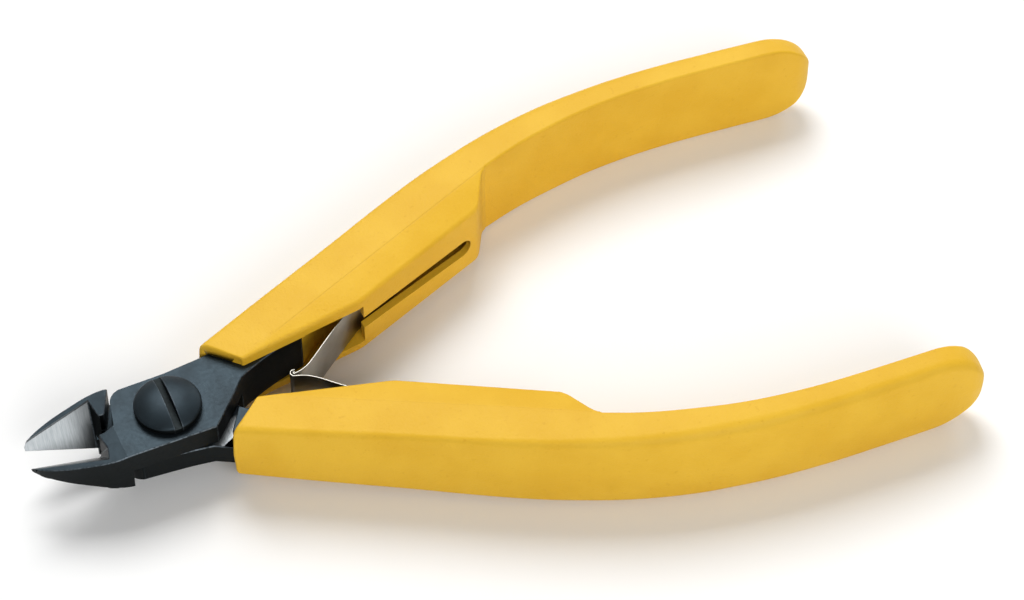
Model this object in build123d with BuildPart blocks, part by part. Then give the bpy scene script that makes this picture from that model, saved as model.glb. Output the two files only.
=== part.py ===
from build123d import *
import os
from math import cos, hypot, radians, sin

# Flush cutter for electronics work: two steel levers that cross in a half-lap joint, a slotted
# pivot screw, two moulded grips with spring housings, and two leaf springs hooked together
# between them. All sizes are in millimetres.
#
# Frame: the origin is on the surface that the tool rests on, under the middle of its outline.
# +X runs along the line half-way between the grips, towards their ends, and +Z is up.
#
# Every lever is drawn in a plane of its own, with its origin on the pivot axis at mid-height.
# There x runs towards the grip's end, and the cutting edge lies on y = 0. A lever's grip side
# is y > 0 and its jaw side y < 0; for the lower lever both are mirrored by side = -1.
# Points below are (x, y) in that plane, written for the upper lever.

os.makedirs("parts", exist_ok=True)

# ---- the whole tool ----
half_opening = 4.5          # degrees that each lever stands open at rest
pivot_x = -36.8             # the pivot axis, so that the outline's middle is at the origin
mid_height = 6.1            # mid-plane of the tool above the surface under the grips
UPPER = 1
LOWER = -1

# ---- head ----
head_half = 3.05            # half of the steel's thickness
lap_gap = 0.03              # each lap face stands this far from the mid-plane
edge_gap = 0.02             # each cutting edge stops this far from the closed line
head_half_width = 4.8
tip_x = -16.9
tip_height = 0.85           # cutting edge at the tip, above the mid-plane
flush_rise = 0.295          # rise of the flush underside per millimetre towards the tip
flush_fall = 0.13           # its fall per millimetre away from the cutting edge
bevel_rise = 1.17           # rise of the ground bevel per millimetre away from the edge
top_fall = 0.146            # fall of the jaw's top per millimetre towards the tip
top_start_x = -6.7
lap_corner_radius = 2.0

# ---- pivot screw ----
bore_radius = 2.65
shoulder_radius = 2.6
thread_radius = 2.0
thread_gap = 0.02           # between the thread's crests and the lower lever's bore
screw_head_radius = 3.9
screw_rim = 0.95
screw_dome = 1.05
screw_lift = 0.05
slot_width = 1.15
slot_depth = 1.3
slot_turn = 93

# ---- grips ----
front_half = 4.45           # half height of the grip at its front end
grip_half = mid_height      # half height from the middle of the hand hold on
taper_end_x = 58.0
grip_end_x = 92.2
end_round = 4.6
socket_half = head_half
pocket_half = 3.2
slot_half = 1.15
lip_start_x = 26.2

# ---- leaf springs ----
leaf_thickness = 0.22
leaf_half_width = 2.9
apex_reach = 15.2           # the hooks meet this far behind the pivot
bead_radius = 0.25
curl_radius = 0.47          # middle of the strip round the bead

# ---- outlines in the lever's plane ----
jaw_side = [(-16.4, -0.95), (-15.0, -1.95), (-13.2, -2.85), (-11.0, -3.68), (-8.6, -4.45)]
jaw_root = (-6.2, -4.65)
root_wall_inner = (-7.25, -1.2)
relief_front_x = -7.9
facet_point = (-7.9, -1.25, head_half)
facet_normal = (0.935, -0.265, -0.236)
tang_outer = [(6.5, 5.35), (12.0, 7.3), (44.0, 18.5), (60.0, 21.4), (72.0, 21.3)]
tang_inner = [(72.0, 20.3), (60.0, 19.7), (45.0, 16.4), (19.5, 6.6), (18.0, 3.55), (14.6, 2.7)]
neck_inner = [(12.4, 1.95), (10.05, 1.0), (9.3, 0.6), (7.6, -1.3), (4.2, -head_half_width)]
lap_outer = {1: [(1.4, 4.95)], -1: [(1.4, 4.5), (4.2, 4.5)]}       # by lap: on top, below
lap_corner = (-5.6, head_half_width + 0.05)
lap_front = [(-7.8, -0.05), (-6.43, 0.4), lap_corner]
step_outer = (6.4, 5.2)
tang_root = {1: neck_inner[:3] + [(8.4, 0.8)], -1: [(8.8, 2.45), (7.9, 1.9)]}
outer_curve = [(42.0, 19.4), (50.0, 21.45), (57.0, 22.5), (64.0, 22.85), (72.0, 22.55),
               (80.0, 21.75), (90.5, 20.5)]
inner_curve = [(90.5, 17.3), (83.0, 18.1), (78.0, 18.6), (73.0, 19.0), (68.0, 19.15),
               (63.0, 19.0), (57.5, 18.35), (51.5, 17.2), (46.7, 15.8)]
grip_front_outer = (6.5, 6.4)
grip_front_inner = (10.2, 2.1)
housing_inner = [(25.7, 4.05), (44.1, 11.1), (46.7, 15.8)]
spring_pocket = [(18.3, 1.5), (lip_start_x, 3.0), (lip_start_x, 5.2), (42.6, 11.4), (44.4, 12.6),
                 (43.7, 14.2), (30.0, 9.4), (24.0, 7.3), (20.4, 5.9), (18.3, 4.0)]
leaf_route = [(20.6, 1.9), (26.2, 5.95), (34.0, 9.7), (43.5, 13.1)]
bead_end = [(16.5, -1.1), (17.7, -0.35)]
curl_end = [(16.6, -0.47), (18.0, 0.1)]


def lever_plane(side, height=0.0):
    """The plane of one lever at its rest angle, a given height above mid-height."""
    turn = radians(side * half_opening)
    return Plane(origin=(pivot_x, 0, mid_height + height), x_dir=(cos(turn), sin(turn), 0),
                 z_dir=(0, 0, 1))


def sided(points, side):
    """Mirror points of the upper lever for the lower one."""
    return [(x, side * y) for x, y in points]


def prism(points, side, low, high):
    """An upright solid over straight-sided points, from one height to another."""
    with BuildPart() as block:
        with BuildSketch(lever_plane(side, low)):
            with BuildLine():
                Polyline(*sided(points, side), close=True)
            make_face()
        extrude(amount=high - low)
    return block.part


def lever_cut(side, point, normal):
    """A cutting plane through a point, with a normal, both in the lever's own axes."""
    home = lever_plane(side)
    place = home.from_local_coords(Vector(point[0], side * point[1], point[2]))
    turned = home.from_local_coords(Vector(normal[0], side * normal[1], normal[2])) - home.origin
    return Plane(origin=place, z_dir=turned)


def jaw_blank(side):
    """The jaw's outline at full height, with its tapered top and flush underside."""
    start = (tip_x, side * -edge_gap)
    with BuildPart() as blank:
        with BuildSketch(lever_plane(side, -head_half)):
            with BuildLine():
                Line(start, (tip_x, side * -0.3))
                Spline((tip_x, side * -0.3), *sided(jaw_side, side), sided([jaw_root], side)[0])
                Polyline(*sided([jaw_root, root_wall_inner, (root_wall_inner[0], -edge_gap)], side))
                Line((root_wall_inner[0], side * -edge_gap), start)
            make_face()
        extrude(amount=2 * head_half)
        split(bisect_by=lever_cut(side, (top_start_x, 0, head_half), (-top_fall, 0, 1)),
              keep=Keep.BOTTOM)
        split(bisect_by=lever_cut(side, (tip_x, 0, tip_height), (flush_rise, -flush_fall, 1)),
              keep=Keep.TOP)
    return blank.part


def jaw(side):
    """One jaw: a blade under the ground bevel, and a root block behind the bevel's end."""
    blank = jaw_blank(side)
    with BuildPart() as blade:
        add(blank)
        split(bisect_by=lever_cut(side, (tip_x, 0, tip_height), (flush_rise, bevel_rise, 1)),
              keep=Keep.BOTTOM)
    relief = prism([(relief_front_x, 1), (0, 1), (0, root_wall_inner[1]),
                    (relief_front_x, root_wall_inner[1])], side, -head_half - 1, head_half + 1)
    with BuildPart() as whole:
        add(blank)
        split(bisect_by=lever_cut(side, facet_point, facet_normal), keep=Keep.TOP)
        add(blade.part)
        add(relief, mode=Mode.SUBTRACT)
    return whole.part


def nearest_edge(edges, side, corner):
    """The upright edge at one corner of an outline."""
    place = lever_plane(side).from_local_coords(Vector(corner[0], side * corner[1], 0))
    return edges.sort_by(lambda e: hypot(e.center().X - place.X, e.center().Y - place.Y))[0]


def steel_lever(side, lap):
    """Jaw, lap plate and tang in one forging. lap is +1 for the plate on top, -1 for below."""
    low, high = sorted((lap * lap_gap, lap * head_half))
    crease = [(root_wall_inner[0], -0.05), jaw_root]
    plate = prism(lap_front + lap_outer[lap] + tang_outer + tang_inner + neck_inner
                  + crease[::-1], side, low, high)
    bridge = prism([(-8.6, -0.05), crease[0], jaw_root, (-8.0, -4.0)], side, low, high)
    tang = prism([step_outer] + tang_outer[1:] + tang_inner + tang_root[lap], side,
                 -head_half, head_half)
    with BuildPart() as lever:
        add(plate)
        upright = lever.edges().filter_by(Axis.Z)
        fillet(nearest_edge(upright, side, lap_corner), lap_corner_radius)
        add(bridge)
        add(jaw(side))
        split(bisect_by=lever_cut(side, (top_start_x, 0, head_half), (-top_fall, 0, 1)),
              keep=Keep.BOTTOM)
        add(tang)
    return lever.part


def hand_hold(side):
    """The bowed band of the grip: its outline at full height, cut to its side view."""
    front = sided([grip_front_outer], side)[0]
    inner_front = sided([grip_front_inner], side)[0]
    with BuildPart() as band:
        with BuildSketch(lever_plane(side, -grip_half)):
            with BuildLine():
                Line(front, sided(outer_curve, side)[0])
                Spline(*sided(outer_curve, side), tangents=((0.94, side * 0.342), (1, side * -0.12)))
                ThreePointArc(sided(outer_curve, side)[-1], (grip_end_x, side * 18.8),
                              sided(inner_curve, side)[0])
                Spline(*sided(inner_curve, side))
                Line(sided(inner_curve, side)[-1], inner_front)
                Line(inner_front, front)
            make_face()
        extrude(amount=2 * grip_half)
        side_view = lever_plane(side)
        side_view = Plane(origin=side_view.origin, x_dir=side_view.x_dir, z_dir=-side_view.y_dir)
        with BuildSketch(side_view):
            with BuildLine():
                Polyline((0, -front_half), (0, front_half), (6.5, front_half))
                Spline((6.5, front_half), (taper_end_x, grip_half), (72.0, grip_half),
                       tangents=((1, 0.033), (1, 0)))
                Line((72.0, grip_half), (grip_end_x - end_round, grip_half))
                ThreePointArc((grip_end_x - end_round, grip_half),
                              (grip_end_x - 0.3 * end_round, 0.72 * grip_half), (grip_end_x, 0))
                ThreePointArc((grip_end_x, 0),
                              (grip_end_x - 0.3 * end_round, -0.72 * grip_half),
                              (grip_end_x - end_round, -grip_half))
                Line((grip_end_x - end_round, -grip_half), (72.0, -grip_half))
                Spline((72.0, -grip_half), (taper_end_x, -grip_half), (6.5, -front_half),
                       tangents=((-1, 0), (-1, 0.033)))
                Line((6.5, -front_half), (0, -front_half))
            make_face()
        extrude(amount=60, both=True, mode=Mode.INTERSECT)
    return band.part


def grip(side):
    """One moulded grip: the hand hold, the spring housing inside it, and the tang's socket."""
    band = hand_hold(side)
    housing = prism([grip_front_inner] + housing_inner + [(30.0, 12.0)], side,
                    -front_half, front_half)
    socket = prism(tang_outer + tang_inner + [(10.0, 0.5), (4.0, 0.5)], side,
                   -socket_half, socket_half)
    window = prism([(8.0, 0.5), (18.3, 0.5), (18.3, 4.0), (8.0, 3.0)], side,
                   -socket_half, socket_half)
    pocket = prism(spring_pocket, side, -pocket_half, pocket_half)
    slot_start = (lip_start_x - 1, 3.0)
    slot = prism([slot_start, (42.0, 9.0), (42.0, 12.0), (lip_start_x - 1, 6.0)], side,
                 -slot_half, slot_half)
    with BuildPart() as whole:
        add(band)
        add(housing)
        for hollow in (socket, window, pocket, slot):
            add(hollow, mode=Mode.SUBTRACT)
    return whole.part


def leaf_spring(side):
    """One strip of spring steel on edge; the upper one ends in a bead, the lower in a curl."""
    turn = radians(half_opening)
    apex = (apex_reach * cos(turn), -apex_reach * sin(turn))
    with BuildPart() as leaf:
        with BuildSketch(lever_plane(side, -leaf_half_width)):
            with BuildLine():
                if side == UPPER:
                    FilletPolyline(apex, *bead_end, *leaf_route, radius=1.2)
                else:
                    foot = (apex[0], apex[1] + curl_radius)
                    FilletPolyline(*sided([foot] + curl_end + leaf_route, side), radius=1.2)
                    CenterArc((apex[0], -apex[1]), curl_radius, 70, 200)
            trace(line_width=leaf_thickness)
            if side == UPPER:
                with Locations(apex):
                    Circle(bead_radius)
        extrude(amount=2 * leaf_half_width)
    return leaf.part


def pivot_screw():
    """Slotted, domed screw: head, shoulder in the upper lever, thread in the lower one."""
    plate_top = head_half + screw_lift
    with BuildPart() as screw:
        with BuildSketch(Plane(origin=(pivot_x, 0, mid_height), z_dir=(0, -1, 0),
                               x_dir=(1, 0, 0))):
            with BuildLine():
                Polyline((0, -head_half + 0.2), (thread_radius - 0.2, -head_half + 0.2),
                         (thread_radius, -head_half + 0.4), (thread_radius, -lap_gap),
                         (shoulder_radius, -lap_gap), (shoulder_radius, plate_top),
                         (screw_head_radius - 0.25, plate_top),
                         (screw_head_radius, plate_top + 0.3),
                         (screw_head_radius, plate_top + screw_rim))
                ThreePointArc((screw_head_radius, plate_top + screw_rim),
                              (0.55 * screw_head_radius, plate_top + screw_rim + 0.75 * screw_dome),
                              (0, plate_top + screw_rim + screw_dome))
                Line((0, plate_top + screw_rim + screw_dome), (0, -head_half + 0.2))
            make_face()
        revolve(axis=Axis((pivot_x, 0, 0), (0, 0, 1)))
        slot_top = mid_height + plate_top + screw_rim + screw_dome
        with BuildSketch(Plane.XY.offset(slot_top - slot_depth)):
            with Locations((pivot_x, 0)):
                Rectangle(3 * screw_head_radius, slot_width, rotation=slot_turn)
        extrude(amount=2 * slot_depth, mode=Mode.SUBTRACT)
    return screw.part


with BuildPart() as lower_jaw_lever:
    add(steel_lever(UPPER, UPPER))
    with BuildSketch(lever_plane(UPPER, 0)):
        Circle(bore_radius)
    extrude(amount=head_half, mode=Mode.SUBTRACT)

with BuildPart() as upper_jaw_lever:
    add(steel_lever(LOWER, LOWER))
    with BuildSketch(lever_plane(LOWER, -head_half)):
        Circle(thread_radius + thread_gap)
    extrude(amount=head_half, mode=Mode.SUBTRACT)

pieces = {
    "lower_jaw_lever": lower_jaw_lever.part,
    "upper_jaw_lever": upper_jaw_lever.part,
    "pivot_screw": pivot_screw(),
    "upper_grip": grip(UPPER),
    "lower_grip": grip(LOWER),
    "upper_leaf_spring": leaf_spring(UPPER),
    "lower_leaf_spring": leaf_spring(LOWER),
}
for name, piece in pieces.items():
    piece.label = name
    export_step(piece, f"parts/{name}.step")
    print(name, round(piece.volume, 2), piece.bounding_box(), len(piece.solids()))
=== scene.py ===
# %% [markdown]
# # A flush cutter for electronics work
# This lesson dresses a small pair of side cutters: two blackened steel levers that cross under a
# slotted screw, two moulded yellow grips, and a pair of thin leaf springs that push the grips
# apart. The steel frame with its joints comes ready-made from CAD. Shapes are worked out in
# millimetres and stored in metres.

import bmesh
import bpy
import numpy as np
from math import cos, radians, sin
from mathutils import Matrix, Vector


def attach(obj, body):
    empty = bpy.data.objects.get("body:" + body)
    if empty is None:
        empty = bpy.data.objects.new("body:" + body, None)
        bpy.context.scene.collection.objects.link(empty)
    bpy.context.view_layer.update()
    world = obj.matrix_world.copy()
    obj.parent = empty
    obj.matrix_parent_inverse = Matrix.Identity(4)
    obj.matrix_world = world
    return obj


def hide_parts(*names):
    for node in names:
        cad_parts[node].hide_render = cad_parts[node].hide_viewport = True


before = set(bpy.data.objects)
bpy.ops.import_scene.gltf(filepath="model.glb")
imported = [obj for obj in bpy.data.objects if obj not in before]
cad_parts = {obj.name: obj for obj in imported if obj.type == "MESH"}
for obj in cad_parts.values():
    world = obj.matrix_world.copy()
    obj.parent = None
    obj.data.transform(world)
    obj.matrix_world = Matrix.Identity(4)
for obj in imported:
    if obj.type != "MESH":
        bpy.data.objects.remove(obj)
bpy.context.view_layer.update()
print("CAD nodes:", sorted(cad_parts))

# %% [markdown]
# ## Where things are
# Each half of the cutter has a drawing plane of its own. Its origin is on the pivot, at
# mid-height, and x runs towards the end of the grip. At rest the two planes are turned a few
# degrees apart. So a shape is worked out once, for the upper half, and one function carries it to
# either half. The lower half is the same shape turned over about the long axis, which keeps
# every face pointing outwards.

# %% The drawing planes
PIVOT = np.array([-36.8, 0.0, 6.1])
OPENING = radians(4.5)
UPPER, LOWER = 1, -1


def to_row(points, side):
    """Points (x, y, z) in mm of one half's plane, in metres in the shared frame: the lower half
    is turned over (y and z change sign), then the plane is turned by its share of the opening
    and moved to the pivot."""
    x, y, z = points[..., 0], side * points[..., 1], side * points[..., 2]
    c, s = cos(OPENING), side * sin(OPENING)
    return (np.stack([c * x - s * y, s * x + c * y, z], -1) + PIVOT) * 0.001


print("grip end, upper half:", to_row(np.array([92.2, 18.8, 0.0]), UPPER).round(4))

# %% [markdown]
# ## From grid to mesh
# A tube-like skin is a grid of points: one row for each station along it, one column for each
# point round it. Neighbouring points make four-sided faces, and each end is closed with a fan
# of triangles to one middle point. The signed volume tells if the faces look outwards.


# %% Grid helpers
def tube_faces(rows, columns):
    """Four-sided faces between neighbouring rows, closed round the columns, and a fan at each end
    to two extra points that follow the grid's own."""
    i = np.arange(rows - 1)[:, None] * columns
    j = np.arange(columns)[None, :]
    k = (j + 1) % columns
    quads = np.stack([i + j, i + k, i + columns + k, i + columns + j], -1).reshape(-1, 4)
    j, k, last = j[0], k[0], (rows - 1) * columns
    front = np.stack([np.full(columns, rows * columns), k, j], -1)
    back = np.stack([np.full(columns, rows * columns + 1), last + j, last + k], -1)
    return quads.tolist() + front.tolist() + back.tolist()


def build_mesh(name, points, faces, sharp=35):
    """A mesh object with merged doubles and outward faces, smooth below the sharp angle."""
    mesh = bpy.data.meshes.new(name)
    mesh.from_pydata(points.tolist(), [], faces)
    work = bmesh.new()
    work.from_mesh(mesh)
    bmesh.ops.remove_doubles(work, verts=work.verts, dist=2e-6)
    bmesh.ops.recalc_face_normals(work, faces=work.faces)
    if work.calc_volume(signed=True) < 0:
        bmesh.ops.reverse_faces(work, faces=work.faces)
    work.to_mesh(mesh)
    work.free()
    mesh.shade_smooth()
    mesh.set_sharp_from_angle(angle=radians(sharp))
    piece = bpy.data.objects.new(name, mesh)
    bpy.context.scene.collection.objects.link(piece)
    return piece


def prism(name, outline, low, high, side):
    """An upright closed solid over an outline of (x, y) points, from height low to high."""
    outline = np.array(outline, float)
    n = len(outline)
    base = np.column_stack([outline, np.full(n, low)])
    top = np.column_stack([outline, np.full(n, high)])
    j = np.arange(n)
    k = (j + 1) % n
    walls = np.stack([j, k, n + k, n + j], -1).tolist()
    faces = walls + [j[::-1].tolist(), (n + j).tolist()]
    return build_mesh(name, to_row(np.vstack([base, top]), side), faces)


# %% [markdown]
# ## The grips
# Each grip is one moulding of slightly grainy yellow plastic. It is a bowed band with soft outer
# edges. Over its front half a housing stands out on the inside, where the leaf spring works. The
# housing's roof falls away from a faint crease that runs along the band's inner edge. A skin like
# this could be modelled by pushing a box about. Here it is worked out instead as a row of
# sections. The lines of the plan and the side view give every section its corners, and
# each corner is rounded by its own radius, so the radii stay true everywhere.

# %% Lines of the grip
outer_line = np.array([(6.5, 6.4), (24.0, 12.81), (42.0, 19.4), (50.0, 21.45), (57.0, 22.5),
                       (64.0, 22.85), (72.0, 22.55), (80.0, 21.75), (90.5, 20.5)])
inner_line = np.array([(46.7, 15.8), (51.5, 17.2), (57.5, 18.35), (63.0, 19.0), (68.0, 19.15),
                       (73.0, 19.0), (78.0, 18.6), (83.0, 18.1), (90.5, 17.3)])
housing_line = np.array([(10.2, 2.1), (25.7, 4.05), (44.1, 11.1), (46.7, 15.8)])


def flowing(x, points):
    """A smooth line through points: cubic Hermite pieces, whose slope at each point is the
    centred difference of its neighbours."""
    px, py = points.T
    slope = np.gradient(py, px)
    k = np.clip(np.searchsorted(px, x, side="right") - 1, 0, len(px) - 2)
    step = px[k + 1] - px[k]
    t = np.clip((x - px[k]) / step, 0, 1)
    return ((2 * t**3 - 3 * t**2 + 1) * py[k] + (t**3 - 2 * t**2 + t) * step * slope[k]
            + (3 * t**2 - 2 * t**3) * py[k + 1] + (t**3 - t**2) * step * slope[k + 1])


def softened(x, points, reach):
    """A line of straight pieces with its corners eased: the mean of the line over x +- reach."""
    shift = np.linspace(-reach, reach, 9)
    return np.interp(x[:, None] + shift, *points.T).mean(1)


print("width of the hand hold at x = 68:",
      round(float(flowing(np.array([68.0]), outer_line)[0] - 19.15), 2), "mm")

# %% Stations along the grip
FRONT, BEND, END = 6.1, 86.4, 92.8
FRONT_ROUND = 0.5
CREASE_FRONT, CREASE_REAR = (10.2, 2.1), (46.7, 15.8)
FRONT_HEIGHT, FULL_HEIGHT = 4.45, 6.1
stations = np.unique(np.concatenate([
    FRONT + FRONT_ROUND * (1 - np.cos(np.linspace(0, np.pi / 2, 9))),
    np.linspace(FRONT + FRONT_ROUND, 24.5, 28),
    np.linspace(24.5, 27.0, 9),
    np.linspace(27.0, 43.2, 20),
    np.linspace(43.2, 48.0, 25),
    np.linspace(48.0, BEND, 50),
    BEND + (END - BEND) * np.sin(np.linspace(0, np.pi / 2, 26)),
]))


def grip_lines(x):
    """For each station: outer, crease and inner line, half heights at crease and inner line, and
    how far the section leans back from outer to inner line."""
    lean = 3.9 * np.clip((16 - x) / 9.9, 0, 1)
    xi = x + lean
    nose = np.sqrt(np.clip(1 - ((x - 90.5) / (END - 90.5)) ** 2, 0, 1)) * 1.6 + 18.9
    outer = np.where(x < 90.5, flowing(x, outer_line), nose)
    hand_inner = np.where(x < 90.5, flowing(x, inner_line), 37.8 - nose)
    wall = softened(xi, housing_line, 0.5)
    inner = np.where(x < 47.2, wall, hand_inner)
    crease = CREASE_FRONT[1] + (xi - CREASE_FRONT[0]) * (CREASE_REAR[1] - CREASE_FRONT[1]) / (
        CREASE_REAR[0] - CREASE_FRONT[0])
    crease = np.where(x < CREASE_REAR[0], np.maximum(crease, inner + 0.7),
                      inner + np.minimum(0.7, 0.35 * (outer - inner)))
    rise = np.clip((x - FRONT) / (58 - FRONT), 0, 1)
    height = FRONT_HEIGHT + (FULL_HEIGHT - FRONT_HEIGHT) * (rise + 0.35 * rise * (1 - rise))
    past = (x - BEND) / (END - BEND)
    height = np.where(x > BEND, FULL_HEIGHT * np.sqrt(np.clip(1 - past**2, 0, 1)), height)
    roof = FRONT_HEIGHT + 0.25 * (xi - CREASE_FRONT[0]) / 34
    back = np.clip((x - 44.1) / (46.7 - 44.1), 0, 1)
    inner_height = np.minimum(roof + back * (height - roof), height)
    behind = np.clip(FRONT + FRONT_ROUND - x, 0, None)
    sunk = FRONT_ROUND - np.sqrt(np.clip(FRONT_ROUND**2 - behind**2, 0, None))
    outer, inner = outer + 0.1 - 0.5 * sunk, inner - 0.05 + 0.5 * sunk
    return outer, crease, inner, height - sunk, inner_height - sunk, lean


lines = grip_lines(stations)
print(len(stations), "stations, half height from", lines[3][6].round(2), "to",
      lines[3].max().round(2), "mm")


# %% Sections of the grip
def rounded(corners, radii, steps):
    """Every corner of every section becomes an arc: a conic between the two points one radius
    away from the corner, pulled to it with the weight of a quarter circle. A radius is at most
    0.48 of the shorter side that meets there."""
    before, after = np.roll(corners, 1, 1) - corners, np.roll(corners, -1, 1) - corners
    lb, la = np.linalg.norm(before, axis=-1), np.linalg.norm(after, axis=-1)
    r = np.minimum(radii, 0.48 * np.minimum(lb, la))[..., None]
    start = corners + before / np.maximum(lb, 1e-9)[..., None] * r
    end = corners + after / np.maximum(la, 1e-9)[..., None] * r
    t = np.linspace(0, 1, steps)[None, None, :, None]
    a, b, c = (1 - t) ** 2, 2 * 0.7071 * t * (1 - t), t**2
    arc = (a * start[:, :, None] + b * corners[:, :, None] + c * end[:, :, None]) / (a + b + c)
    return arc.reshape(len(corners), -1, 2)


def grip_points(x):
    """The skin's grid of (x, y, z): sections of seven rounded corners, from the outer side's
    middle over the top to the inner wall and back below."""
    outer, crease, inner, height, roof, lean = grip_lines(x)
    shoulder = outer - 0.22 * np.clip((outer - inner) / 3, 0, 1)
    zero = np.zeros_like(x)
    corners = np.stack([
        np.stack([outer, zero], -1), np.stack([shoulder, height], -1),
        np.stack([crease, height], -1), np.stack([inner, roof], -1),
        np.stack([inner, -roof], -1), np.stack([crease, -height], -1),
        np.stack([shoulder, -height], -1)], 1)
    soft_inner = np.interp(x, [40, 48, 52], [0.5, 0.5, 0.95])
    ones = np.ones_like(x)
    soft_outer = np.interp(x, [30, 62], [0.75, 1.5])
    radii = np.stack([0.4 * ones, soft_outer, 0.3 * ones, soft_inner, soft_inner, 0.3 * ones,
                      soft_outer], 1)
    section = rounded(corners, radii, 8)
    across = (outer[:, None] - section[..., 0]) / np.maximum(outer - inner, 1e-6)[:, None]
    along = x[:, None] + lean[:, None] * across
    return np.concatenate([along[..., None], section], -1)


skin = grip_points(stations)
print("grip skin grid:", skin.shape)

# %% [markdown]
# ### Openings
# The steel tang is moulded into a socket, the spring works in a pocket behind an open mouth, and
# a narrow side slot shows the end of the spring. These are real openings. The simplest exact
# way to make them is to subtract plain solids from the skin, each a little longer than the wall
# that it cuts.

# %% Cutters
tang = [(6.5, 5.35), (12.0, 7.3), (44.0, 18.5), (60.0, 21.4), (72.0, 21.3), (72.0, 20.3),
        (60.0, 19.7), (45.0, 16.4), (19.5, 6.6), (18.0, 3.55), (14.6, 2.7), (10.0, 0.5),
        (4.0, 0.5)]
mouth = [(8.0, 0.5), (18.3, 0.5), (18.3, 4.0), (8.0, 3.0)]
pocket = [(18.3, 1.5), (26.2, 3.0), (26.2, 5.2), (42.6, 11.4), (44.4, 12.6), (43.7, 14.2),
          (30.0, 9.4), (24.0, 7.3), (20.4, 5.9), (18.3, 4.0)]


def slot_cutter(name, side):
    """The side slot: its outline in x and z, with a half-round rear end, carried along y through
    the housing's wall."""
    turn = np.linspace(np.pi / 2, -np.pi / 2, 11)
    rear = np.column_stack([41.6 + 1.25 * np.cos(turn), -0.6 + 1.25 * np.sin(turn)])
    outline = np.vstack([[(25.2, 1.15)], rear, [(25.2, -0.75)]])
    near = np.column_stack([outline[:, 0], 0.3832 * (outline[:, 0] - 25.7) + 3.0, outline[:, 1]])
    far = near + np.array([0.0, 3.2, 0.0])
    n = len(outline)
    j = np.arange(n)
    k = (j + 1) % n
    faces = np.stack([j, k, n + k, n + j], -1).tolist() + [j[::-1].tolist(), (n + j).tolist()]
    return build_mesh(name, to_row(np.vstack([near, far]), side), faces)


def cut(piece, cutters):
    """Subtract solids from a piece one after another, and keep the result as its mesh."""
    for cutter in cutters:
        tool = piece.modifiers.new("cut", "BOOLEAN")
        tool.operation, tool.object, tool.solver = "DIFFERENCE", cutter, "EXACT"
        shapes = bpy.context.evaluated_depsgraph_get()
        result = bpy.data.meshes.new_from_object(piece.evaluated_get(shapes))
        piece.modifiers.clear()
        piece.data = result
        bpy.data.objects.remove(cutter)
    piece.data.set_sharp_from_angle(angle=radians(28))
    return piece


# %% Make both grips
def make_grip(name, side):
    """The moulded grip of one half, with its socket, mouth, pocket and slot cut out."""
    grid = grip_points(stations)
    rows, columns = grid.shape[:2]
    middles = np.array([grid[0].mean(0), grid[-1].mean(0)])
    points = to_row(np.vstack([grid.reshape(-1, 3), middles]), side)
    piece = build_mesh(name, points, tube_faces(rows, columns))
    return cut(piece, [prism("socket", tang, -3.06, 3.06, side),
                       prism("mouth", mouth, -3.06, 3.06, side),
                       prism("pocket", pocket, -3.2, 3.2, side),
                       slot_cutter("slot", side)])


upper_grip = make_grip("upper_grip_moulding", UPPER)
lower_grip = make_grip("lower_grip_moulding", LOWER)
for grip, body, node in ((upper_grip, "screw_side", "upper_grip"),
                         (lower_grip, "back_side", "lower_grip")):
    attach(grip, body)
    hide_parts(node)
    print(grip.name, len(grip.data.polygons), "faces")

# %% [markdown]
# ## The levers
# The two forged levers already have their true shape in the CAD frame, but every edge there is
# perfectly sharp, and real edges catch the light. So a copy of each is merged, its flat triangles
# are joined into whole faces, and its edges get a narrow bevel. The cutting edges are left out,
# because they are ground razor sharp, and so are slivers, because a bevel has no room there. The
# new faces are marked in an attribute called worn, which the finish uses to show bare metal there.
# Two more attributes mark what the maker ground bright after blackening: the cutting bevels, and
# the lap face round the screw. The last one marks the upright side walls, which the finish darkens
# as painted shade.


# %% Copy, merge and bevel
def keep_apart(work, side):
    """A bevel that ends at a cutting edge can push a point over the plane in which the jaws meet.
    Each point of the jaw past it goes back to 0.02 mm short of it, straight across."""
    along = Vector((cos(OPENING), side * sin(OPENING), 0))
    across = side * Vector((-side * sin(OPENING), cos(OPENING), 0))
    moved = 0
    for vertex in work.verts:
        place = vertex.co - Vector(PIVOT * 0.001)
        over = place.dot(across) + 0.00002
        if place.dot(along) < -0.0075 and over > 1e-7:
            vertex.co -= over * across
            moved += 1
    return moved


def broad(face):
    """False on a sliver, whose area is small for its longest edge: it has no room for a bevel."""
    return face.calc_area() > 0.00018 * max(edge.calc_length() for edge in face.edges)


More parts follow.
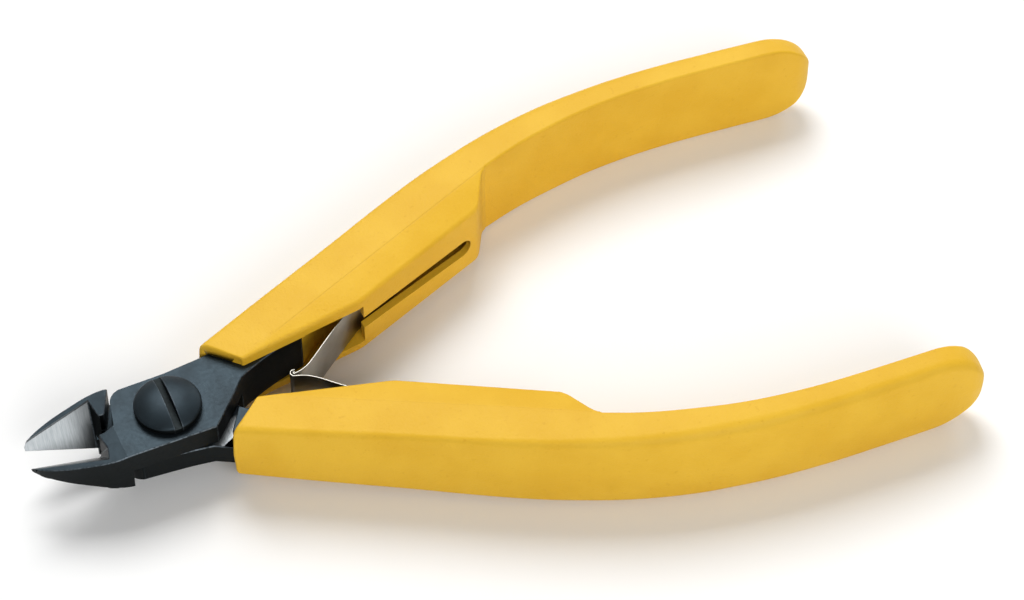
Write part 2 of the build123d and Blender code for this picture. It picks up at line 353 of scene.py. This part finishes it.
def dressed(name, node, body, side, width, marks):
    """A copy of a CAD node with narrow marked bevels. marks gives attribute names with tests on
    a face's middle and normal."""
    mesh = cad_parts[node].data.copy()
    mesh.materials.clear()
    work = bmesh.new()
    work.from_mesh(mesh)
    bmesh.ops.remove_doubles(work, verts=work.verts, dist=2e-6)
    bmesh.ops.dissolve_limit(work, angle_limit=radians(0.6), verts=work.verts, edges=work.edges)
    layers = {key: work.faces.layers.float.new(key) for key in [*marks, "worn"]}
    for face in work.faces:
        for key, test in marks.items():
            face[layers[key]] = float(test(face.calc_center_median(), face.normal))
    edges = [e for e in work.edges if e.is_manifold and e.calc_length() > 0.0003
             and radians(25) < e.calc_face_angle(0) < radians(112)
             and all(broad(face) for face in e.link_faces)]
    made = bmesh.ops.bevel(work, geom=edges, offset=width * 0.001, offset_type="OFFSET",
                           segments=1, profile=0.5, affect="EDGES", clamp_overlap=False)
    for face in made["faces"]:
        face[layers["worn"]] = 1.0
    moved = keep_apart(work, side)
    for edge in work.edges:
        level = any(abs(face.normal.z) > 0.9 for face in edge.link_faces)
        edge.smooth = edge.calc_face_angle(0) < radians(1 if level else 25)
    for face in work.faces:
        face.smooth = True
    bmesh.ops.triangulate(work, faces=work.faces, ngon_method="BEAUTY")
    work.to_mesh(mesh)
    work.free()
    piece = bpy.data.objects.new(name, mesh)
    bpy.context.scene.collection.objects.link(piece)
    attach(piece, body)
    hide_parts(node)
    print(name, len(mesh.polygons), "faces,", len(edges), "edges bevelled,", moved,
          "points put back at the cutting plane")
    return piece


# %% Which faces are ground
def bevel_test(side):
    """True where a face looks the way of the cutting bevel: the jaw's two slopes, 0.295 along it
    and 1.17 across it, give the bevel's normal."""
    c, s = cos(OPENING), side * sin(OPENING)
    way = Vector((0.295 * c - side * 1.17 * s, 0.295 * s + side * 1.17 * c, 1)).normalized()
    return lambda middle, normal: normal.dot(way) > 0.995


def lap_test(middle, normal):
    """True on a face that looks straight up from the tool's mid-height."""
    return normal.z > 0.99 and abs(middle.z - 0.00607) < 5e-5


def upright(middle, normal):
    """True on the levers' side walls, which the finish darkens as painted shade."""
    return abs(normal.z) < 0.5


upper_half = dressed("screw_side_lever", "lower_jaw_lever", "screw_side", UPPER, 0.11,
                     {"ground": bevel_test(UPPER), "upright": upright})
lower_half = dressed("back_side_lever", "upper_jaw_lever", "back_side", LOWER, 0.11,
                     {"ground": bevel_test(LOWER), "lap": lap_test, "upright": upright})

# %% [markdown]
# ## The pivot screw
# The screw's head is a low dome with a slot right across it. A dome alone could be turned on a
# lathe, but a slot isn't round. So the head is worked out as a row of cuts along the slot: each
# cut goes from the slot's floor up its wall, over the dome, round the rim and back underneath,
# and is as wide as the disc is there. The shank is turned.

# %% The head, cut by cut
HEAD_RADIUS, SLOT_HALF, RIM_ROUND = 3.95, 0.44, 0.22
SLOT_TURN = radians(93)


def dome(r):
    """Height above mid-height at a distance from the axis: a low dome, then a quarter round that
    falls away at the rim."""
    height = 4.05 + 1.05 * (1 - (r / HEAD_RADIUS) ** 2.32)
    edge = np.clip((r - HEAD_RADIUS + RIM_ROUND) / RIM_ROUND, 0, 1)
    return height - RIM_ROUND * (1 - np.sqrt(1 - edge**2))


def head_points(cuts=89):
    """The head's grid of (u, v, z), u along the slot and v across it."""
    reach = np.sqrt(HEAD_RADIUS**2 - SLOT_HALF**2) - 1e-4
    u = (reach * np.sin(np.linspace(-np.pi / 2, np.pi / 2, cuts)))[:, None]
    disc = np.sqrt(HEAD_RADIUS**2 - u**2)
    t = np.sin(np.linspace(0, np.pi / 2, 26))[None, :]
    lip = np.minimum(SLOT_HALF + 0.07, disc)
    over = lip + (disc - lip) * t
    top = dome(np.minimum(np.hypot(u, over), HEAD_RADIUS))
    one = np.ones_like(u)
    floor = 3.8
    wall_top = np.maximum(top[:, :1] - 0.07, floor)
    v = np.hstack([0 * one, 0.5 * SLOT_HALF * one, SLOT_HALF * one, SLOT_HALF * one,
                   SLOT_HALF + 0.02 * one, over, disc, np.maximum(disc - 0.1, 0.3),
                   np.maximum(disc - 0.3, 0.2), 0.1 * one])
    z = np.hstack([floor * one, floor * one, floor * one, wall_top, wall_top + 0.05, top,
                   3.5 * one, 3.25 * one, 3.1 * one, 3.1 * one])
    grid = np.stack([u * np.ones_like(v), v, z], -1)
    other = grid[:, :0:-1] * np.array([1.0, -1.0, 1.0])
    return np.concatenate([grid, other], 1)


def turned(profile, columns=72):
    """Points of a profile (radius, height) turned round the z axis."""
    angle = np.linspace(0, 2 * np.pi, columns, endpoint=False)
    r, z = np.array(profile).T[..., None]
    return np.stack([r * np.cos(angle), r * np.sin(angle), z + 0 * angle], -1)


def tube(grid):
    """A grid's points with the two middle points of its ends, and its faces."""
    ends = np.array([grid[0].mean(0), grid[-1].mean(0)])
    return np.vstack([grid.reshape(-1, 3), ends]), tube_faces(*grid.shape[:2])


# %% Put the screw together
head, head_faces = tube(head_points())
turn = np.array([[cos(SLOT_TURN), sin(SLOT_TURN), 0], [-sin(SLOT_TURN), cos(SLOT_TURN), 0],
                 [0, 0, 1]])
shank, shank_faces = tube(turned([(1.75, -2.85), (2.0, -2.6), (2.0, -0.03), (2.6, -0.03),
                                  (2.6, 3.15)]))
points = (np.vstack([head @ turn, shank]) + PIVOT) * 0.001
faces = head_faces + [[i + len(head) for i in face] for face in shank_faces]
screw = build_mesh("slotted_screw", points, faces, sharp=40)
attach(screw, "back_side")
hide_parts("pivot_screw")
print(screw.name, len(screw.data.polygons), "faces")

# %% [markdown]
# ## The leaf springs
# Each leaf is a strip of thin spring steel that stands on edge. It is anchored inside the
# housing, comes out of the mouth and runs to the middle, where one leaf's curl holds the other
# leaf's rolled bead. A strip is the easiest kind of surface: a small rounded section carried
# along a path, always square to it.

# %% Paths of the leaves
LEAF_HALF, LEAF_THICK = 2.9, 0.16
apex = np.array([15.2 * cos(OPENING), -15.2 * sin(OPENING)])
inside = [(26.2, 5.95), (34.0, 9.7), (43.5, 13.1)]


def ring(radius, first, last, steps):
    """Points of an arc round the apex, from one angle to another in degrees."""
    angle = np.radians(np.linspace(first, last, steps))
    return apex + radius * np.stack([np.cos(angle), np.sin(angle)], -1)


def eased(corners, radius):
    """A path through corners, each rounded by the same conic as the grip's, ends kept."""
    corners = np.array(corners, float)
    radii = np.full(len(corners), radius)
    radii[[0, -1]] = 0
    return rounded(corners[None], radii[None], 9)[0]


def strip_points(path, half, thick):
    """A rounded rectangle carried along the path: at each point it is set off along the path's
    normal for its thickness, and along z for its width."""
    path = path[np.r_[True, np.linalg.norm(np.diff(path, axis=0), axis=1) > 1e-4]]
    step = np.gradient(path, axis=0)
    normal = np.stack([-step[:, 1], step[:, 0]], -1)
    normal /= np.linalg.norm(normal, axis=1)[:, None]
    t, w = thick / 2, half
    box = np.array([[(-t, -w), (t, -w), (t, w), (-t, w)]], float)
    section = rounded(box, np.full((1, 4), 0.06), 4)[0]
    flat = path[:, None] + normal[:, None] * section[None, :, :1]
    return np.concatenate([flat, np.broadcast_to(section[:, 1:], flat.shape[:2] + (1,))], -1)


bead_path = np.vstack([ring(0.11, 0, 262, 16),
                       eased([apex + (0, -0.11), (16.5, -1.1), (17.7, -0.35), (20.6, 1.9), *inside],
                             1.5)])
curl_path = np.vstack([ring(0.44, -70, -262, 22),
                       eased([apex + (0, 0.44), (16.4, -0.5), (17.7, 0.2), (20.0, 2.0), *inside],
                             1.5)])
leaves = []
for name, side, path, body in (("upper_leaf", UPPER, bead_path, "upper_leaf"),
                               ("lower_leaf", LOWER, curl_path, "lower_leaf")):
    points, faces = tube(strip_points(path, LEAF_HALF, LEAF_THICK))
    leaf = build_mesh(name, to_row(points, side), faces, sharp=60)
    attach(leaf, body)
    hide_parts(body + "_spring")
    leaves.append(leaf)
    print(name, len(leaf.data.polygons), "faces")

# %% [markdown]
# ## Finishes
# A finish is a small network of shader nodes. To keep it readable, one class wraps a socket and
# lets sums be written as sums: each operator adds the Math node that does it. Everything else
# comes from one method that takes the kind of node, its settings and its inputs.


# %% The socket class
class Wire:
    """An output socket in a material's node tree, or just the tree itself to start from."""

    def __init__(self, tree, socket=None):
        self.tree, self.socket = tree, socket

    def node(self, kind, settings=None, inputs=None, output=0):
        """Add a node: settings are its properties, inputs its sockets' values or wires."""
        made = self.tree.nodes.new("ShaderNode" + kind)
        for key, value in (settings or {}).items():
            setattr(made, key, value)
        for key, value in (inputs or {}).items():
            if isinstance(value, Wire):
                self.tree.links.new(value.socket, made.inputs[key])
            else:
                made.inputs[key].default_value = value
        return Wire(self.tree, made.outputs[output])

    def maths(self, operation, first, second):
        return self.node("Math", {"operation": operation}, {0: first, 1: second})

    def __add__(self, other):
        return self.maths("ADD", self, other)

    def __radd__(self, other):
        return self.maths("ADD", other, self)

    def __sub__(self, other):
        return self.maths("SUBTRACT", self, other)

    def __rsub__(self, other):
        return self.maths("SUBTRACT", other, self)

    def __mul__(self, other):
        return self.maths("MULTIPLY", self, other)

    def __rmul__(self, other):
        return self.maths("MULTIPLY", other, self)

    def spread(self, low, high, to_low=0.0, to_high=1.0):
        """The wire's range low..high, eased in and out, as the range to_low..to_high."""
        return self.node("MapRange", {"interpolation_type": "SMOOTHSTEP"},
                         {"Value": self, "From Min": low, "From Max": high, "To Min": to_low,
                          "To Max": to_high})

    def blend(self, first, second):
        """first where this wire is 0 and second where it is 1; both are colours or wires."""
        return self.node("Mix", {"data_type": "RGBA"}, {0: self, 6: first, 7: second}, 2)

    def noise(self, place, scale, detail=3.0, roughness=0.55):
        return self.node("TexNoise", None, {"Vector": place, "Scale": scale, "Detail": detail,
                                            "Roughness": roughness})


def rgb(red, green, blue):
    """A colour as seen on a screen, 0 to 255 each, in the linear numbers that a shader takes:
    each channel is lifted by the screen's own curve."""
    c = np.array([red, green, blue]) / 255
    linear = np.where(c < 0.04045, c / 12.92, ((c + 0.055) / 1.055) ** 2.4)
    return (*linear.tolist(), 1.0)


def finish(name):
    """A new material with a plain surface shader: its tree as a wire, the object's coordinates
    and the surface shader's inputs."""
    material = bpy.data.materials.new(name)
    material.use_nodes = True
    tree = material.node_tree
    start = Wire(tree)
    place = start.node("TexCoord", output="Object")
    return material, start, place, tree.nodes["Principled BSDF"]


def connect(surface, **inputs):
    """Set or link the surface shader's inputs; an underscore in a name stands for a space."""
    tree = surface.id_data
    for key, value in inputs.items():
        socket = surface.inputs[key.replace("_", " ")]
        if isinstance(value, Wire):
            tree.links.new(value.socket, socket)
        else:
            socket.default_value = value


# %% [markdown]
# ### Yellow plastic
# The grips are a warm yellow moulding with a satin, slightly pebbled surface. Two sizes of noise do
# it: a very fine one for the pebbling, which goes to the bump and the roughness, and a broad faint
# one that keeps the colour from looking painted on. A hairline groove follows the crease where the
# band meets the housing's roof: a faint dip in the bump, with painted shade darkening the colour
# along it. The two grips mirror each other, so the distance from one line, with y taken without its
# sign, serves both. On the lower grip both the groove and its painted shade are fainter.

# %% Yellow plastic
plastic, start, place, surface = finish("yellow_plastic_satin")
pebble = start.noise(place, 3200.0, 2.0, 0.6)
cloud = start.noise(place, 140.0, 3.0, 0.5).spread(0.3, 0.7)
speck = start.noise(place, 1500.0, 2.0, 0.5).spread(0.62, 0.8)
warm = cloud.blend(rgb(230, 183, 50), rgb(224, 175, 41))
colour = (speck * 0.45).blend(warm, rgb(212, 158, 30))
first, last = to_row(np.array([[*CREASE_FRONT, 0], [*CREASE_REAR, 0]]), UPPER)[:, :2]
way = (last - first) / np.hypot(*(last - first))
x_wire = start.node("SeparateXYZ", None, {"Vector": place}, "X")
y_wire = start.node("SeparateXYZ", None, {"Vector": place}, "Y")
mirrored = start.node("Math", {"operation": "ABSOLUTE"}, {0: y_wire})
off_line = ((mirrored - float(first[1])) * float(way[0])
            - (x_wire - float(first[0])) * float(way[1]))
crease = 1 - start.node("Math", {"operation": "ABSOLUTE"}, {0: off_line}).spread(3e-5, 9e-5)
crease = crease * (1 - x_wire.spread(0.0085, 0.0095)) * x_wire.spread(-0.024, -0.020)
crease = crease * y_wire.spread(-0.0001, 0.0001, 0.35, 1.0)
# Painted shade: the colour darkens along the crease line, fainter on the lower grip.
colour = (crease * (0.05 + 0.45 * pebble)).blend(colour, rgb(186, 134, 32))
bump = start.node("Bump", None, {"Strength": 0.45, "Distance": 0.00012,
                                 "Height": pebble - 0.3 * crease})
connect(surface, Base_Color=colour, Roughness=0.44 + pebble * 0.16, Normal=bump,
        Specular_IOR_Level=0.22)
for piece in (upper_grip, lower_grip):
    piece.data.materials.clear()
    piece.data.materials.append(plastic)
print(plastic.name, len(plastic.node_tree.nodes), "nodes")

# %% [markdown]
# ### Blackened steel
# The levers and the screw are chemically blackened: a thin blue-grey skin over bare steel. It is
# darker than paint and reflects softly. Painted shade makes it near black on the levers' upright
# side walls, in the screw's slot and on the head's side below the dome. Fine grinding lines run
# across the cutting bevels, where the skin was ground off, and the worn attribute lets a little
# bare metal show along edges. Painted shade also darkens the bevels towards the jaw's root and
# keeps the lap face dark where the other lever's plate shadows it.

# %% Blackened steel
def blackened(name, bare_edges, painted_shade):
    """Blackened steel with bright ground faces. bare_edges makes the 0 to 1 wire that says where
    the skin is worn, and the last argument the one that says where shade is painted near black,
    both from the tree's start and the coordinates."""
    material, start, place, surface = finish(name)
    bevel = start.node("Attribute", {"attribute_name": "ground"}, output="Fac")
    lap = start.node("Attribute", {"attribute_name": "lap"}, output="Fac")
    along = start.node("SeparateXYZ", None, {"Vector": place}, "X")
    across = start.node("SeparateXYZ", None, {"Vector": place}, "Y")
    # Painted shade: the lap face shows bright metal only past x = -0.0322 m and below y = -0.0019
    # m; where the other lever's plate shadows it, it keeps the dark skin.
    ground = bevel + lap * along.spread(-0.0334, -0.0322) * (1 - across.spread(-0.0019, -0.0013))
    # Painted shade: the ground bevel is darkened towards the jaw's root.
    root_shade = bevel * along.spread(-0.0493, -0.0447)
    grain = start.noise(place, 2400.0, 3.0, 0.6)
    cloud = start.noise(place, 260.0, 3.0, 0.55)
    lines = start.node("Mapping", None, {"Vector": place, "Scale": (7000.0, 600.0, 600.0),
                                         "Rotation": (0.0, 0.0, 0.35)})
    streaks = start.noise(lines, 1.0, 3.0, 0.6)
    skin = cloud.spread(0.3, 0.7).blend(rgb(39, 47, 52), rgb(46, 56, 62))
    # Painted shade: the skin goes near black where the painted-shade wire is set.
    skin = (0.85 * painted_shade(start, place)).blend(skin, rgb(15, 18, 17))
    bare = streaks.spread(0.2, 0.8).blend(rgb(118, 123, 125), rgb(148, 152, 154))
    bare = (root_shade * 0.85).blend(bare, rgb(52, 54, 55))
    edge = bare_edges(start, place) * grain.spread(0.3, 0.62, 0.1, 0.7)
    colour = ground.blend(edge.blend(skin, rgb(108, 117, 124)), bare)
    rough = (1 - ground) * (0.4 + 0.18 * grain) + ground * (0.3 + 0.12 * streaks)
    bump = start.node("Bump", None, {"Strength": 0.1, "Distance": 0.00006,
                                     "Height": grain * (1 - ground) + 0.6 * streaks * ground})
    connect(surface, Base_Color=colour, Metallic=0.9, Roughness=rough, Normal=bump)
    print(name, len(material.node_tree.nodes), "nodes")
    return material


def marked_edges(start, place):
    """Worn where the bevelled faces were marked."""
    return start.node("Attribute", {"attribute_name": "worn"}, output="Fac")


def side_wall_shade(start, place):
    """Painted shade: the upright side walls are made near black."""
    return start.node("Attribute", {"attribute_name": "upright"}, output="Fac")


def from_slot(start, place):
    """Distance from the slot's middle line: a dot product with its crosswise direction."""
    across = (-sin(SLOT_TURN), cos(SLOT_TURN), 0.0)
    offset = float(np.dot(across, PIVOT) * 0.001)
    v = start.node("VectorMath", {"operation": "DOT_PRODUCT"}, {0: place, 1: across}, "Value")
    return start.node("Math", {"operation": "ABSOLUTE"}, {0: v - offset})


def slot_edges(start, place):
    """Worn along the slot's two edges."""
    far, edge = from_slot(start, place), SLOT_HALF * 0.001
    return 0.5 * far.spread(edge - 1e-5, edge + 2e-5) * (1 - far.spread(edge + 9e-5, edge + 15e-5))


def slot_and_rim_shade(start, place):
    """Painted shade: the slot and the head's side below the dome are made near black."""
    far, edge = from_slot(start, place), SLOT_HALF * 0.001
    height = start.node("SeparateXYZ", None, {"Vector": place}, "Z")
    below = 1 - height.spread(0.00995, 0.01008)
    inside = 1 - far.spread(edge - 4e-5, edge)
    return start.node("Math", {"operation": "MAXIMUM"}, {0: below, 1: inside})


lever_steel = blackened("blackened_lever_steel", marked_edges, side_wall_shade)
screw_steel = blackened("blackened_screw_steel", slot_edges, slot_and_rim_shade)
for piece, material in ((upper_half, lever_steel), (lower_half, lever_steel),
                        (screw, screw_steel)):
    piece.data.materials.append(material)

# %% [markdown]
# ### Spring steel
# The leaves are bright rolled strip. Rolling leaves faint lines along the strip, so the noise is
# stretched along it, and the cut edges at the top and bottom are brighter than the faces.

# %% Spring steel
spring, start, place, surface = finish("bright_spring_steel")
height = start.node("SeparateXYZ", None, {"Vector": place}, "Z")
rim = start.node("Math", {"operation": "ABSOLUTE"}, {0: height - 0.0061}).spread(0.00284, 0.00288)
along = start.node("Mapping", None, {"Vector": place, "Scale": (250.0, 250.0, 6000.0)})
rolled = start.noise(along, 1.0, 3.0, 0.6)
cloud = start.noise(place, 300.0, 2.0, 0.5)
face_colour = cloud.spread(0.3, 0.7).blend(rgb(138, 136, 130), rgb(160, 158, 152))
colour = rim.blend(face_colour, rgb(168, 166, 158))
bump = start.node("Bump", None, {"Strength": 0.08, "Distance": 0.00005, "Height": rolled})
connect(surface, Base_Color=colour, Metallic=1.0, Roughness=0.26 + 0.16 * rolled, Normal=bump)
for piece in leaves:
    piece.data.materials.append(spring)
print(spring.name, len(spring.node_tree.nodes), "nodes")

# %% [markdown]
# ## Floor, light and camera
# The cutter lies on a plain white table under soft light. A large lamp above and behind it makes
# the shadows fall towards us, a weaker one in front lights the sides of the grips, a small one on
# the right gives the steel something to reflect, and an even sky fills the rest. The floor is not
# part of the tool.

# %% Floor
floor_mesh = bpy.data.meshes.new("floor")
floor_mesh.from_pydata([(-3, -3, -2e-5), (3, -3, -2e-5), (3, 3, -2e-5), (-3, 3, -2e-5)], [],
                       [(0, 1, 2, 3)])
floor = bpy.data.objects.new("floor", floor_mesh)
bpy.context.scene.collection.objects.link(floor)
paper, start, place, surface = finish("white_table")
fibre = start.noise(place, 60.0, 3.0, 0.5)
connect(surface, Base_Color=fibre.blend((0.93, 0.93, 0.925, 1), (0.95, 0.95, 0.945, 1)),
        Roughness=0.7, Specular_IOR_Level=0.2)
floor_mesh.materials.append(paper)

# %% Light
scene = bpy.context.scene
scene.view_settings.view_transform = "Standard"
world = bpy.data.worlds.new("soft_sky")
scene.world = world
world.use_nodes = True
sky = world.node_tree.nodes["Background"]
sky.inputs["Color"].default_value = (0.985, 0.995, 1.0, 1)
sky.inputs["Strength"].default_value = 0.25


def soft_lamp(name, place, size, power):
    """A square lamp that looks at the tool's middle."""
    data = bpy.data.lights.new(name, "AREA")
    data.size, data.energy = size, power
    lamp = bpy.data.objects.new(name, data)
    lamp.location = place
    lamp.rotation_mode = "QUATERNION"
    lamp.rotation_quaternion = (Vector((0, 0, 0)) - Vector(place)).to_track_quat("-Z", "Y")
    scene.collection.objects.link(lamp)


soft_lamp("key", (0.05, 0.42, 0.63), 0.4, 4.45)
soft_lamp("front", (0.05, -0.64, 0.42), 0.5, 3.2)
soft_lamp("right", (0.54, 0.47, 0.34), 0.35, 1.0)

# %% Camera
look_at = Vector((0.00659, 0.00355, 0.0061))
back = Vector((-0.2147, -0.5850, 0.7821)).normalized()
camera_data = bpy.data.cameras.new("camera")
camera_data.sensor_width = 36.0
camera_data.lens = 125.79
camera = bpy.data.objects.new("camera", camera_data)
camera.location = look_at + back * 0.4248
camera.rotation_mode = "QUATERNION"
camera.rotation_quaternion = (-back).to_track_quat("-Z", "Y")
camera_data.clip_start, camera_data.clip_end = 0.01, 10
scene.collection.objects.link(camera)
scene.camera = camera
print("camera at", [round(v, 4) for v in camera.location])
